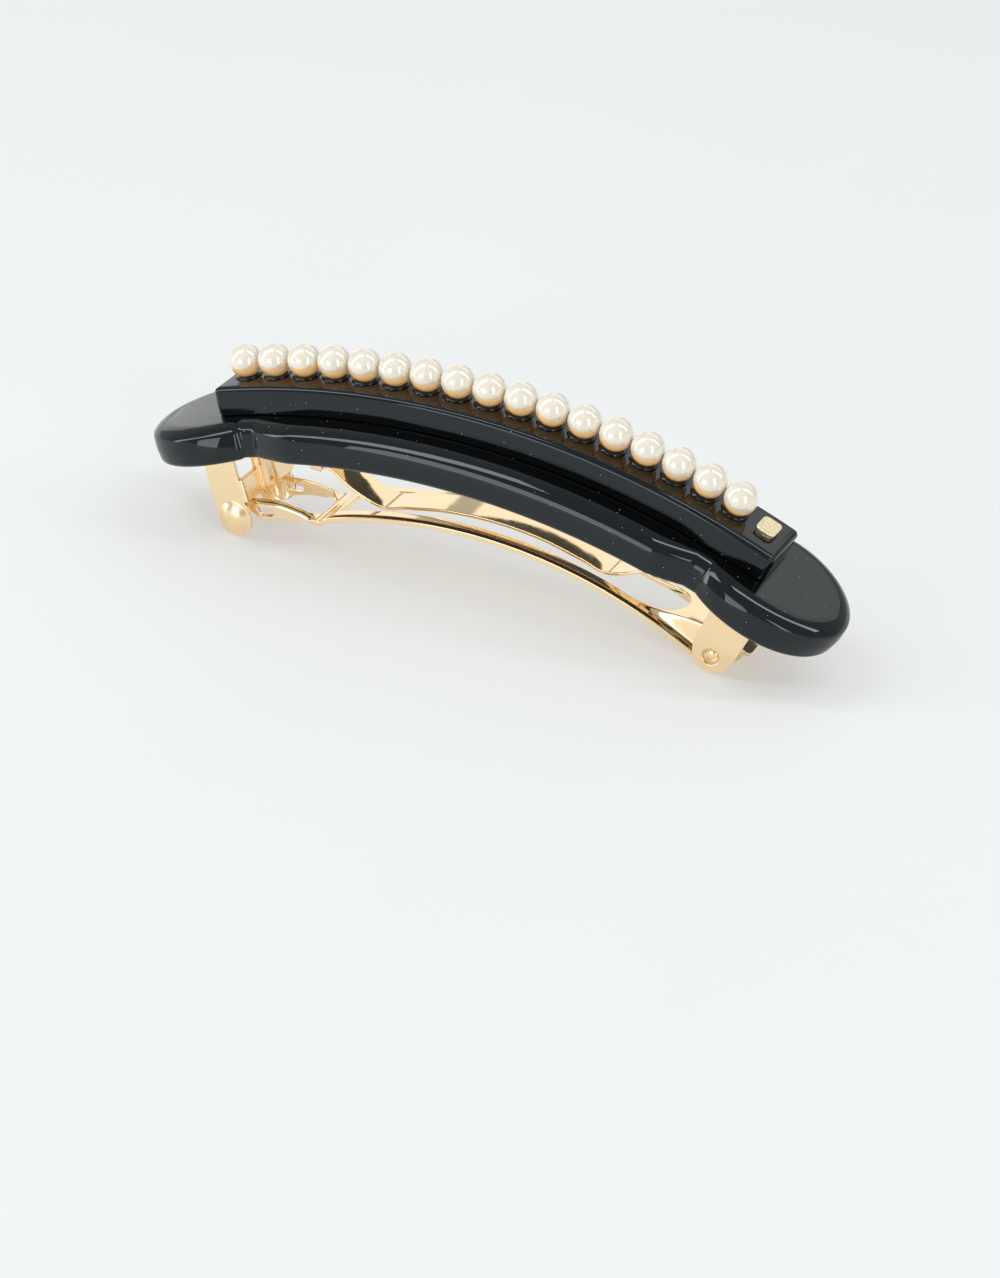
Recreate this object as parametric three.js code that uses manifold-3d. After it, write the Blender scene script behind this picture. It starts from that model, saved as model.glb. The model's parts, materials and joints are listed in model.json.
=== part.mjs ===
// A hair barrette: a curved two-layer acetate decoration with a row of pearls and a small
// square stud, on an automatic clip of plated spring steel.
//
// Millimetres, +Z up, +X towards the hinge end, +Y towards the back. The curved layers share
// one bend axis, parallel to Y. The design frame has the crown of the base plate at its
// origin. The finished group is tipped about Y by footTilt and lifted, so that the clip's
// two thumb pads and two hinge ears stand on Z = 0.

import * as THREE from "three";
import { mergeVertices } from "three/addons/utils/BufferGeometryUtils.js";
import Module from "manifold-3d";

const wasm = await Module();
wasm.setup();

// ---- driving dimensions -------------------------------------------------------------

const crownRadius = 124.5; // top face of the base plate, about the bend axis
const seam = 0.04; // left between two pieces that rest on each other
const bite = 0.06; // by which joined shapes reach into each other

const plate = {
  thickness: 5.5,
  halfWidth: 10.55,
  lobeCentre: 45.6, // along the arc, from the crown
  lobeRadius: 11.2, // of the two round end lobes
  taperStart: 29.5, // where the straight sides begin to run in to the notches
  notchStart: 36.4, // a narrow flat-bottomed notch between the side and the lobe
  notchEnd: 38.4,
  notchHalfWidth: 8.5,
  edge: 0.7,
};
const topBar = { thickness: 4.3, halfWidth: 5.1, halfAngle: 0.354, shift: 0.004, edge: 0.55 };
const pearl = { radius: 2.48, pitch: 5.0, count: 17, firstAngle: -0.321, sink: 0.08 };
const stud = { length: 3.0, width: 3.9, height: 0.8, corner: 0.7, angle: 0.3293, y: 0.3 };

const sheet = 0.8; // plated steel of the clip's frame, arm and thumb tabs
const springSheet = 0.5; // the tension bar
const flangeSheet = 0.6; // the tongue's side flanges
const frame = {
  halfWidth: 4.6,
  earHalfWidth: 6.6,
  startAngle: -0.392,
  endAngle: 0.386,
  headMargin: 0.8, // from a tab or an ear to the end of the wide head
  neckLength: 3,
  ventStart: -14, // the long vent down the middle
  ventEnd: 16,
  ventHalfWidth: 1.6,
};
const ear = { angle: 0.3525, width: 6.5, pivotRadius: 110.45, foot: 107.9, corner: 2.3 };
const pivotHole = 1.3;
const pintle = { radius: 1.05, recess: 0.15 };
const tab = {
  angle: -0.36,
  width: 5.4,
  foot: 106.15,
  pivotRadius: 117.6, // the tab bends inwards about its top edge
  flare: 0.55,
  padRise: 0.9,
  notchDepth: 1.2,
  notchRadius: 0.8,
  bend: 0.9,
  webDrop: 5.4,
};
const leg = { inner: 2.9, outer: 3.5, barb: 4.15, barbHeight: 1, width: 1.6, foot: 109.2 };
const rivet = { angle: 0.272, shank: 0.9, head: 1.9, headHeight: 0.7, depth: 3.0 };
const lug = { x: 27.4, width: 1.8, inner: 2.55, outer: 3.15, catchDrop: 2.75, hingeDrop: 3.1 };
const bar = { halfWidth: 2.7, endHalfWidth: 2.1, taper: 6, halfLength: 29.2 };
const arm = {
  bend: 73, // the arm is bent more tightly than the frame
  crownX: 2,
  crownZ: -13.45,
  halfWidth: 5.5,
  tongueHalfWidth: 4.9,
  tipHalfWidth: 4.5,
  tipX: -39.6,
  tailX: 42.9,
  slotStart: -22.65,
  slotEnd: 31.6,
  slotHalfWidth: 3.5,
  windowStart: -37.4,
  windowEnd: -26,
  windowHalfWidth: 3.9,
  windowBevel: 1.6,
  tailCorner: 3,
  bossRadius: 2.1, // round the pivot on the hinge walls
};

const plateUnderside = crownRadius - plate.thickness;
const barFoot = crownRadius + seam;
const barTop = barFoot + topBar.thickness;
const frameTop = plateUnderside - seam;
const frameUnderside = frameTop - sheet;
const earInside = frame.earHalfWidth - sheet;

// ---- materials ----------------------------------------------------------------------

function material(colour, roughness, metalness) {
  return new THREE.MeshStandardMaterial({ color: colour, roughness, metalness });
}

const acetate = () => material(0x0b0c0e, 0.06, 0);
const nacre = () => material(0xf3e8d8, 0.2, 0);
const plating = () => material(0xe9c98f, 0.12, 1);

// ---- placing and cutting ------------------------------------------------------------

// The point at an angle from the crown and a distance from the bend axis.
function onArc(angle, radius, y) {
  return new THREE.Vector3(
    radius * Math.sin(angle), y, radius * Math.cos(angle) - crownRadius);
}

// Turns a geometry modelled at the crown, its Z along the radius, to an angle on the arc.
function turnToAngle(geometry, angle) {
  const centre = new THREE.Matrix4().makeTranslation(0, 0, crownRadius);
  const turn = new THREE.Matrix4().makeRotationY(angle);
  const back = new THREE.Matrix4().makeTranslation(0, 0, -crownRadius);
  return geometry.applyMatrix4(centre).applyMatrix4(turn).applyMatrix4(back);
}

function solid(geometry) {
  const bare = geometry.clone();
  bare.deleteAttribute("normal");
  bare.deleteAttribute("uv");
  const merged = mergeVertices(bare, 1e-5);
  return new wasm.Manifold(new wasm.Mesh({
    numProp: 3,
    vertProperties: new Float32Array(merged.attributes.position.array),
    triVerts: new Uint32Array(merged.index.array),
  }));
}

function geometryOf(manifold) {
  const mesh = manifold.getMesh();
  const geometry = new THREE.BufferGeometry();
  geometry.setAttribute("position", new THREE.BufferAttribute(mesh.vertProperties, 3));
  geometry.setIndex(new THREE.BufferAttribute(mesh.triVerts, 1));
  geometry.computeVertexNormals();
  return geometry;
}

function join(first, ...others) {
  return others.reduce((whole, part) => whole.add(part), first);
}

function cut(first, ...others) {
  return others.reduce((whole, part) => whole.subtract(part), first);
}

function cylinder(radius, length, sides = 24) {
  return new THREE.CylinderGeometry(radius, radius, length, sides);
}

function box(x0, x1, y0, y1, z0, z1) {
  const geometry = new THREE.BoxGeometry(x1 - x0, y1 - y0, z1 - z0);
  return geometry.translate((x0 + x1) / 2, (y0 + y1) / 2, (z0 + z1) / 2);
}

// The lowest and highest Y of a wall on one side, from its two distances off the middle.
function sideSpan(side, from, to) {
  return [Math.min(side * from, side * to), Math.max(side * from, side * to)];
}

// A plan outline, drawn in X and Y, raised from one height to another.
function raised(shape, z0, z1, curveSegments = 8) {
  const options = { depth: z1 - z0, bevelEnabled: false, curveSegments };
  return new THREE.ExtrudeGeometry(shape, options).translate(0, 0, z0);
}

// A side outline, drawn in X and Z, spread from one Y to another.
function spread(shape, y0, y1, curveSegments = 8) {
  const options = { depth: y1 - y0, bevelEnabled: false, curveSegments };
  const geometry = new THREE.ExtrudeGeometry(shape, options);
  return geometry.rotateX(Math.PI / 2).translate(0, y1, 0);
}

// A rectangle with rounded corners.
function roundedRectangle(x0, x1, y0, y1, radius) {
  const shape = new THREE.Shape();
  shape.moveTo(x0 + radius, y0);
  shape.lineTo(x1 - radius, y0);
  shape.absarc(x1 - radius, y0 + radius, radius, -Math.PI / 2, 0);
  shape.lineTo(x1, y1 - radius);
  shape.absarc(x1 - radius, y1 - radius, radius, 0, Math.PI / 2);
  shape.lineTo(x0 + radius, y1);
  shape.absarc(x0 + radius, y1 - radius, radius, Math.PI / 2, Math.PI);
  shape.lineTo(x0, y0 + radius);
  shape.absarc(x0 + radius, y0 + radius, radius, Math.PI, 1.5 * Math.PI);
  return shape;
}

// The section of a sheet whose top face follows a curve drawn in X and Z.
function sheetSection(curve, thickness, steps) {
  const top = curve.getSpacedPoints(steps);
  const under = top.map((point, index) => {
    const tangent = curve.getTangentAt(index / steps);
    return new THREE.Vector2(
      point.x + tangent.y * thickness, point.y - tangent.x * thickness);
  });
  return new THREE.Shape([...top, ...under.reverse()]);
}

// A slab bent about the bend axis. The outline is given by its half-width along the arc,
// and the long edges of both faces are chamfered.
function bentSlab({ inner, outer, halfLength, halfWidth, edge, along, across }) {
  const geometry = new THREE.BoxGeometry(2, 2, 2, along, across, 3);
  const position = geometry.attributes.position;
  const levels = [inner, inner + edge, outer - edge, outer];
  for (let i = 0; i < position.count; i += 1) {
    const level = Math.round((position.getZ(i) + 1) * 1.5);
    const inset = level === 0 || level === 3 ? edge : 0;
    const reach = halfLength - inset;
    const distance = reach * Math.sin((position.getX(i) * Math.PI) / 2);
    const width = halfWidth((distance * halfLength) / reach) - inset;
    const point = onArc(distance / crownRadius, levels[level], position.getY(i) * width);
    position.setXYZ(i, point.x, point.y, point.z);
  }
  geometry.computeVertexNormals();
  return geometry;
}

const root = new THREE.Group();

function addPiece(name, geometry, finish) {
  const mesh = new THREE.Mesh(geometry, finish);
  mesh.name = name;
  root.add(mesh);
}

// ---- acetate decoration -------------------------------------------------------------

// Half the plate's width at a distance along the arc: straight sides that taper to a flat
// notch, then a round lobe at each end.
function plateHalfWidth(distance) {
  const s = Math.abs(distance);
  if (s < plate.taperStart) {
    return plate.halfWidth;
  }
  if (s < plate.notchEnd) {
    const run = Math.min((s - plate.taperStart) / (plate.notchStart - plate.taperStart), 1);
    return plate.halfWidth - (plate.halfWidth - plate.notchHalfWidth) * run ** 1.4;
  }
  const along = Math.min((s - plate.lobeCentre) / plate.lobeRadius, 1);
  return Math.max(plate.lobeRadius * Math.sqrt(1 - along * along), plate.edge + 0.5);
}

function rivetBore(sign, radius, bottom, top) {
  const bore = cylinder(radius, top - bottom, 16).rotateX(Math.PI / 2);
  bore.translate(0, 0, (top + bottom) / 2 - crownRadius);
  return turnToAngle(bore, sign * rivet.angle);
}

function basePlate() {
  const slab = bentSlab({
    inner: plateUnderside,
    outer: crownRadius,
    halfLength: plate.lobeCentre + plate.lobeRadius,
    halfWidth: plateHalfWidth,
    edge: plate.edge,
    along: 96,
    across: 2,
  });
  const bores = [-1, 1].map((sign) => solid(rivetBore(
    sign, rivet.shank + seam, plateUnderside - 1, plateUnderside + rivet.depth + seam)));
  return geometryOf(cut(solid(slab), ...bores));
}

function pearlCentre(index) {
  const radius = barTop + pearl.radius - pearl.sink;
  const angle = pearl.firstAngle + (index * pearl.pitch) / radius;
  return onArc(angle, radius, 0);
}

function barSlab() {
  const slab = bentSlab({
    inner: barFoot,
    outer: barTop,
    halfLength: topBar.halfAngle * crownRadius,
    halfWidth: () => topBar.halfWidth,
    edge: topBar.edge,
    along: 40,
    across: 1,
  });
  return turnToAngle(slab, topBar.shift);
}

// The upper bar, with a shallow round seat in its top for each pearl.
function upperBar() {
  const seats = [];
  for (let i = 0; i < pearl.count; i += 1) {
    const centre = pearlCentre(i);
    const seat = new THREE.SphereGeometry(pearl.radius + seam, 16, 16);
    seats.push(solid(seat.translate(centre.x, centre.y, centre.z)));
  }
  return geometryOf(cut(solid(barSlab()), ...seats));
}

function pearlBall(index) {
  const centre = pearlCentre(index);
  const ball = new THREE.SphereGeometry(pearl.radius, 16, 10);
  return ball.translate(centre.x, centre.y, centre.z);
}

// A flat rounded plate standing just proud of the bar, past the last pearl.
function squareStud() {
  const outline = roundedRectangle(
    -stud.length / 2, stud.length / 2, -stud.width / 2, stud.width / 2, stud.corner);
  const foot = barTop - crownRadius + seam;
  const block = raised(outline, foot, foot + stud.height, 4);
  return turnToAngle(block.translate(0, stud.y, 0), stud.angle);
}

// ---- clip frame ---------------------------------------------------------------------

function frameStrip() {
  const strip = new THREE.Shape();
  const middle = (frame.startAngle + frame.endAngle) / 2;
  const reach = (frame.endAngle - frame.startAngle) / 2;
  const steps = 48;
  const arcPoint = (radius, step) => {
    const point = onArc(middle + (reach * (2 * step - steps)) / steps, radius, 0);
    return [point.x, point.z];
  };
  strip.moveTo(...arcPoint(frameUnderside, 0));
  for (let step = 1; step <= steps; step += 1) {
    strip.lineTo(...arcPoint(frameUnderside, step));
  }
  for (let step = steps; step >= 0; step -= 1) {
    strip.lineTo(...arcPoint(frameTop, step));
  }
  return spread(strip, -frame.earHalfWidth, frame.earHalfWidth);
}

// The frame seen from above: a narrow strip with a wide head at each end.
function framePlan() {
  const margin = 1;
  const left = onArc(frame.startAngle, frameTop, 0).x - margin;
  const right = onArc(frame.endAngle, frameTop, 0).x + margin;
  const neckLeft = onArc(tab.angle, frameTop, 0).x + tab.width / 2 + frame.headMargin;
  const neckRight = onArc(ear.angle, frameTop, 0).x - ear.width / 2 - frame.headMargin;
  const wide = frame.earHalfWidth + margin;
  const narrow = frame.halfWidth;
  const slope = frame.neckLength;
  const shape = new THREE.Shape();
  shape.moveTo(left, -wide);
  shape.lineTo(neckLeft, -wide);
  shape.lineTo(neckLeft + slope, -narrow);
  shape.lineTo(neckRight - slope, -narrow);
  shape.lineTo(neckRight, -wide);
  shape.lineTo(right, -wide);
  shape.lineTo(right, wide);
  shape.lineTo(neckRight, wide);
  shape.lineTo(neckRight - slope, narrow);
  shape.lineTo(neckLeft + slope, narrow);
  shape.lineTo(neckLeft, wide);
  shape.lineTo(left, wide);
  const half = frame.ventHalfWidth;
  shape.holes.push(
    roundedRectangle(frame.ventStart, frame.ventEnd, -half, half, half - seam));
  return raised(shape, -crownRadius, 0);
}

// A hinge ear: a flat leg with a rounded foot, bent down from the frame's edge.
function hingeEar(side) {
  const top = frameUnderside + sheet / 2 - crownRadius;
  const foot = ear.foot - crownRadius;
  const half = ear.width / 2;
  const leaf = roundedRectangle(-half, half, foot, top + ear.corner, ear.corner);
  const blank = spread(leaf, ...sideSpan(side, earInside, frame.earHalfWidth));
  const trim = box(-ear.width, ear.width, -ear.foot, ear.foot, top, top + 2 * ear.corner);
  return cut(solid(turnToAngle(blank, ear.angle)), solid(turnToAngle(trim, ear.angle)));
}

function pivotCentre() {
  return onArc(ear.angle, ear.pivotRadius, 0);
}

function alongPivot(radius, y0, y1) {
  const centre = pivotCentre();
  return cylinder(radius, y1 - y0).translate(centre.x, (y0 + y1) / 2, centre.z);
}

// A staple under the frame that holds one end of the tension bar.
function barLug(sign) {
  const x0 = sign * lug.x - lug.width / 2;
  const x1 = sign * lug.x + lug.width / 2;
  const top = Math.sqrt(frameUnderside ** 2 - lug.x ** 2) - crownRadius;
  const low = top - (sign < 0 ? lug.catchDrop : lug.hingeDrop);
  const posts = [-1, 1].map((side) => {
    const [y0, y1] = sideSpan(side, lug.inner, lug.outer);
    return solid(box(x0, x1, y0, y1, low, top + sheet / 2));
  });
  const rung = solid(box(x0, x1, -lug.outer, lug.outer, low - springSheet, low));
  return join(rung, ...posts);
}

function clipFrame() {
  const strip = solid(frameStrip()).intersect(solid(framePlan()));
  const bores = [-1, 1].map((sign) => solid(rivetBore(
    sign, rivet.shank + seam, frameUnderside - 1, frameTop + 1)));
  const whole = join(strip, hingeEar(-1), hingeEar(1), barLug(-1), barLug(1));
  const reach = 2 * frame.earHalfWidth;
  return geometryOf(cut(whole, solid(alongPivot(pivotHole, -reach, reach)), ...bores));
}

// A round-headed rivet up through the frame into a blind bore in the acetate.
function frameRivet(sign) {
  const headTop = frameUnderside - seam - crownRadius;
  const shankTop = plateUnderside + rivet.depth - crownRadius;
  const profile = [
    new THREE.Vector2(0, headTop - rivet.headHeight),
    new THREE.Vector2(rivet.head * 0.6, headTop - rivet.headHeight * 0.85),
    new THREE.Vector2(rivet.head, headTop - rivet.headHeight * 0.3),
    new THREE.Vector2(rivet.head, headTop),
    new THREE.Vector2(rivet.shank, headTop),
    new THREE.Vector2(rivet.shank, shankTop),
    new THREE.Vector2(0, shankTop),
  ];
  const turned = new THREE.LatheGeometry(profile, 16).rotateX(Math.PI / 2);
  return turnToAngle(turned, sign * rivet.angle);
}

// ---- thumb tabs ---------------------------------------------------------------------

// The outer leaf has a round foot, and a small relief notch beside the web.
function tabLeaf(side) {
  const top = tab.pivotRadius - crownRadius;
  const half = tab.width / 2;
  const footCentre = tab.foot + half - crownRadius;
  const notchX = half - tab.notchRadius;
  const leaf = new THREE.Shape();
  leaf.moveTo(-half, top);
  leaf.lineTo(-half, footCentre);
  leaf.absarc(0, footCentre, half, Math.PI, 2 * Math.PI);
  leaf.lineTo(half, top - tab.notchDepth - tab.notchRadius);
  leaf.absarc(half, top - tab.notchDepth, tab.notchRadius, 1.5 * Math.PI, Math.PI, true);
  leaf.lineTo(notchX, top);
  return spread(leaf, ...sideSpan(side, earInside, frame.earHalfWidth));
}

// The thumb pad, domed out of the leaf.
function tabPad(side) {
  const half = tab.width / 2;
  const tall = half + tab.padRise;
  const pad = new THREE.SphereGeometry(1, 20, 14);
  pad.scale(half - bite, tab.flare + sheet / 2, tall);
  const y = side * (frame.earHalfWidth - sheet / 2);
  return pad.translate(0, y, tab.foot + tall + bite - crownRadius);
}

// The web across the tab's inner edge, and the short bend that joins it to the leaf.
function tabWeb(side) {
  const top = tab.pivotRadius - tab.notchDepth - crownRadius;
  const foot = tab.pivotRadius - tab.webDrop - crownRadius;
  const half = tab.width / 2;
  const face = half + tab.bend;
  const span = sideSpan(side, leg.inner + bite, frame.earHalfWidth - bite);
  const turnSpan = sideSpan(side, earInside + bite, frame.earHalfWidth - bite);
  const web = box(face - sheet, face, ...span, foot, top);
  const turn = box(half - sheet, face - bite, ...turnSpan, foot + bite, top - bite);
  return [web, turn];
}

// The leg that stands in the arm's window, and the barb that holds the arm up.
function tabLeg(side) {
  const top = tab.pivotRadius - tab.notchDepth - bite - crownRadius;
  const foot = leg.foot - crownRadius;
  const start = tab.width / 2 + tab.bend - sheet - bite;
  const limb = box(
    start, start + leg.width, ...sideSpan(side, leg.inner, leg.outer), foot, top);
  const barb = new THREE.Shape();
  barb.moveTo(side * (leg.inner + bite), foot + bite);
  barb.lineTo(side * leg.outer, foot + bite);
  barb.lineTo(side * leg.barb, foot + leg.barbHeight);
  barb.lineTo(side * (leg.inner + bite), foot + leg.barbHeight);
  const hook = raised(barb, bite, leg.width - bite);
  hook.applyMatrix4(new THREE.Matrix4().makeBasis(
    new THREE.Vector3(0, 1, 0), new THREE.Vector3(0, 0, 1), new THREE.Vector3(1, 0, 0)));
  return [limb, hook.translate(start, 0, 0)];
}

// One side of the catch.
function thumbTab(side) {
  const pieces = [tabLeaf(side), tabPad(side), ...tabWeb(side), ...tabLeg(side)];
  return geometryOf(join(...pieces.map((piece) => solid(turnToAngle(piece, tab.angle)))));
}

// ---- tension bar --------------------------------------------------------------------

// The bar bows up in the middle, dips at two knees and rises again to its ends.
function tensionBar() {
  const line = new THREE.SplineCurve([
    new THREE.Vector2(-bar.halfLength, -11.45),
    new THREE.Vector2(-25.2, -11.95),
    new THREE.Vector2(-20.8, -14.1),
    new THREE.Vector2(-16.2, -15.35),
    new THREE.Vector2(-12.5, -14.35),
    new THREE.Vector2(-6, -12.85),
    new THREE.Vector2(1.7, -12.2),
    new THREE.Vector2(9, -12.6),
    new THREE.Vector2(15.5, -13.9),
    new THREE.Vector2(19.6, -14.85),
    new THREE.Vector2(24.4, -13.2),
    new THREE.Vector2(26.6, -12.0),
    new THREE.Vector2(bar.halfLength, -11.4),
  ]);
  const section = spread(
    sheetSection(line, springSheet, 60), -frame.halfWidth, frame.halfWidth);
  const plan = new THREE.Shape();
  const end = bar.halfLength + 1;
  const knee = bar.halfLength - bar.taper;
  plan.moveTo(-end, -bar.endHalfWidth);
  plan.lineTo(-knee, -bar.halfWidth);
  plan.lineTo(knee, -bar.halfWidth);
  plan.lineTo(end, -bar.endHalfWidth);
  plan.lineTo(end, bar.endHalfWidth);
  plan.lineTo(knee, bar.halfWidth);
  plan.lineTo(-knee, bar.halfWidth);
  plan.lineTo(-end, bar.endHalfWidth);
  return geometryOf(solid(section).intersect(solid(raised(plan, -crownRadius, 0))));
}

// ---- lever arm ----------------------------------------------------------------------

// The height of the arm's top face where it follows its own bend.
function armTop(x) {
  return arm.crownZ - arm.bend + Math.sqrt(arm.bend ** 2 - (x - arm.crownX) ** 2);
}

// The arm's side view: a tongue, an S-bend, the long bend, and a raised tail past the pivot.
function armLine() {
  return new THREE.SplineCurve([
    new THREE.Vector2(arm.tipX, -20.3),
    new THREE.Vector2(-36.5, -19.35),
    new THREE.Vector2(-32.4, -18.6),
    new THREE.Vector2(-28.8, -18.95),
    new THREE.Vector2(-26, -19.5),
    ...[-22.5, -16, -9, -2, 5, 12, 19, 25].map((x) => new THREE.Vector2(x, armTop(x))),
    new THREE.Vector2(29, -17.6),
    new THREE.Vector2(33.5, -17.6),
    new THREE.Vector2(38, -18.3),
    new THREE.Vector2(41.2, -19.8),
    new THREE.Vector2(arm.tailX, -21.2),
  ]);
}

// The arm seen from above, with its long slot and the catch window.
function armPlan() {
  const wide = arm.halfWidth;
  const narrow = arm.tongueHalfWidth;
  const tip = arm.tipHalfWidth;
  const tail = arm.tailX + seam;
  const corner = arm.tailCorner;
  const shape = new THREE.Shape();
  shape.moveTo(arm.tipX - 1, -tip + 2);
  shape.lineTo(arm.tipX + 1.5, -tip);
  shape.lineTo(-36, -narrow);
  shape.lineTo(-28, -narrow);
  shape.lineTo(-25, -wide);
  shape.lineTo(27, -wide);
  shape.lineTo(29.5, -narrow);
  shape.lineTo(tail - corner, -narrow);
  shape.absarc(tail - corner, -narrow + corner, corner, -Math.PI / 2, 0);
  shape.lineTo(tail, narrow - corner);
  shape.absarc(tail - corner, narrow - corner, corner, 0, Math.PI / 2);
  shape.lineTo(29.5, narrow);
  shape.lineTo(27, wide);
  shape.lineTo(-25, wide);
  shape.lineTo(-28, narrow);
  shape.lineTo(-36, narrow);
  shape.lineTo(arm.tipX + 1.5, tip);
  shape.lineTo(arm.tipX - 1, tip - 2);
  const slot = new THREE.Path();
  const half = arm.slotHalfWidth;
  slot.moveTo(arm.slotStart, half);
  slot.lineTo(arm.slotStart, -half);
  slot.lineTo(arm.slotEnd - half, -half);
  slot.absarc(arm.slotEnd - half, 0, half, -Math.PI / 2, Math.PI / 2);
  const gap = arm.windowHalfWidth;
  const bevel = arm.windowBevel;
  const catchWindow = new THREE.Path();
  catchWindow.moveTo(arm.windowStart, -gap);
  catchWindow.lineTo(arm.windowEnd - bevel, -gap);
  catchWindow.lineTo(arm.windowEnd, -gap + bevel);
  catchWindow.lineTo(arm.windowEnd, gap - bevel);
  catchWindow.lineTo(arm.windowEnd - bevel, gap);
  catchWindow.lineTo(arm.windowStart, gap);
  shape.holes.push(slot, catchWindow);
  return shape;
}

// A flange along the tongue, pierced by a small opening.
function tongueFlange(side) {
  const shape = new THREE.Shape();
  shape.moveTo(-37.6, -19.9);
  shape.lineTo(-37.2, -21.6);
  shape.quadraticCurveTo(-36.6, -22.4, -35.2, -22.3);
  shape.lineTo(-28.6, -20.9);
  shape.lineTo(-27.2, -19.6);
  shape.lineTo(-28.8, -19.2);
  shape.lineTo(-32.4, -18.9);
  const opening = new THREE.Path();
  opening.moveTo(-36.2, -20.3);
  opening.lineTo(-35.6, -21.6);
  opening.lineTo(-33.2, -21.2);
  opening.lineTo(-33.6, -20.1);
  shape.holes.push(opening);
  return sideWall(shape, side, flangeSheet);
}

// A wall at the hinge end, from the web down to the pivot.
function hingeWall(side) {
  const pivot = pivotCentre();
  const boss = arm.bossRadius;
  const shape = new THREE.Shape();
  shape.moveTo(26.5, -18.1);
  shape.lineTo(29.6, -19.9);
  shape.lineTo(31.6, -21.9);
  shape.lineTo(pivot.x - boss / 2, pivot.z - boss);
  shape.absarc(pivot.x, pivot.z, boss, 1.5 * Math.PI, 2.3 * Math.PI);
  shape.lineTo(38.8, -18.8);
  shape.lineTo(33.5, -17.9);
  shape.lineTo(29, -17.9);
  return sideWall(shape, side, sheet);
}

// An upright wall at the tongue's edge.
function sideWall(shape, side, thickness) {
  const span = sideSpan(side, arm.tongueHalfWidth - thickness, arm.tongueHalfWidth);
  return solid(spread(shape, ...span));
}

function leverArm() {
  const line = armLine();
  const section = spread(sheetSection(line, sheet, 96), -arm.halfWidth, arm.halfWidth);
  const plan = raised(armPlan(), -crownRadius, 0, 10);
  const web = solid(section).intersect(solid(plan));
  const reach = frame.earHalfWidth - pintle.recess;
  const pintles = [-1, 1].map((side) => solid(alongPivot(
    pintle.radius, ...sideSpan(side, arm.tongueHalfWidth - sheet / 2, reach))));
  const walls = [-1, 1].flatMap((side) => [tongueFlange(side), hingeWall(side)]);
  return geometryOf(join(web, ...walls, ...pintles));
}

// ---- the object ---------------------------------------------------------------------

addPiece("base_plate", basePlate(), acetate());
addPiece("top_bar", upperBar(), acetate());
for (let i = 0; i < pearl.count; i += 1) {
  addPiece(`pearl_${String(i + 1).padStart(2, "0")}`, pearlBall(i), nacre());
}
addPiece("square_stud", squareStud(), plating());
addPiece("clip_frame", clipFrame(), plating());
addPiece("rivet_catch_end", frameRivet(-1), plating());
addPiece("rivet_hinge_end", frameRivet(1), plating());
addPiece("thumb_tab_front", thumbTab(-1), plating());
addPiece("thumb_tab_back", thumbTab(1), plating());
addPiece("tension_bar", tensionBar(), plating());
addPiece("lever_arm", leverArm(), plating());

// Stand the feet on Z = 0: the pads reach lower than the ears, so the hinge end tips down.
const padFoot = onArc(tab.angle, tab.foot, 0);
const earFoot = onArc(ear.angle, ear.foot, 0);
const footTilt = Math.atan2(earFoot.z - padFoot.z, earFoot.x - padFoot.x);
root.rotation.y = footTilt;
root.updateMatrixWorld(true);
const bounds = new THREE.Box3().setFromObject(root, true);
const middle = bounds.getCenter(new THREE.Vector3());
root.position.set(-middle.x, 0, -bounds.min.z);

export default root;
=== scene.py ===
"""The barrette's looks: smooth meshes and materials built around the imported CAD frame.

The design frame is the one that the part is drawn in: millimetres, with the crown of the base
plate at its origin and the bend axis parallel to Y. to_row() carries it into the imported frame.
"""
import json
import math
import random

import bmesh
import bpy
import numpy as np
from mathutils import Matrix, Vector
from mathutils.geometry import tessellate_polygon


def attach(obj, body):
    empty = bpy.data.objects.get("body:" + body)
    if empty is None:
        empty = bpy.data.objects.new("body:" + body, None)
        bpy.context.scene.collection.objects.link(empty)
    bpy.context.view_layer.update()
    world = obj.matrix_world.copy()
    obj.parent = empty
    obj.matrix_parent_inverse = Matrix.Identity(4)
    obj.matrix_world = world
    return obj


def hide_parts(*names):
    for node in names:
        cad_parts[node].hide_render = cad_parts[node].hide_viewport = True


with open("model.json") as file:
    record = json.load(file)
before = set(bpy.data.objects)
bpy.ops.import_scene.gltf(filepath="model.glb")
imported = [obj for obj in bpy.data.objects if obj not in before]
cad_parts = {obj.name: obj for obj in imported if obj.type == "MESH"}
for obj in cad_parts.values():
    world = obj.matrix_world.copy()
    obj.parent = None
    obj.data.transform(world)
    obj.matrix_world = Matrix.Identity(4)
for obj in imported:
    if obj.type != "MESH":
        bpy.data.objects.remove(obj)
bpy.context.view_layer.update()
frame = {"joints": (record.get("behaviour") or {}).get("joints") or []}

# ---- driving dimensions, in millimetres and radians ---------------------------------

MM = 0.001
CROWN = 124.5  # radius of the base plate's top face
SEAM = 0.04
PLATE_THICKNESS = 5.5
PLATE_UNDERSIDE = CROWN - PLATE_THICKNESS
BAR_THICKNESS = 4.3
BAR_TOP = CROWN + SEAM + BAR_THICKNESS
PEARL_RADIUS = 2.48
PEARL_PITCH = 5.0
PEARL_COUNT = 17
PEARL_SINK = 0.08  # how far a pearl sits below the bar's top face
PEARL_CENTRE = BAR_TOP + PEARL_RADIUS - PEARL_SINK
FIRST_PEARL = -0.321
SHEET = 0.8  # the clip's plated steel
SPRING_SHEET = 0.5  # the tension bar and its staples
STRIP_TOP = PLATE_UNDERSIDE - SEAM  # outer face of the clip frame's strip
EAR_OUTSIDE = 6.6  # half-width over the hinge ears and the thumb tabs
EAR_BEND = 1.2
EAR_FOLD = EAR_OUTSIDE - EAR_BEND
EAR_ANGLE = 0.3525
PIVOT_RADIUS = 110.45
TAB_ANGLE = -0.36
ARM_BEND = 73.0  # radius of the arm's long bend
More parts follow.
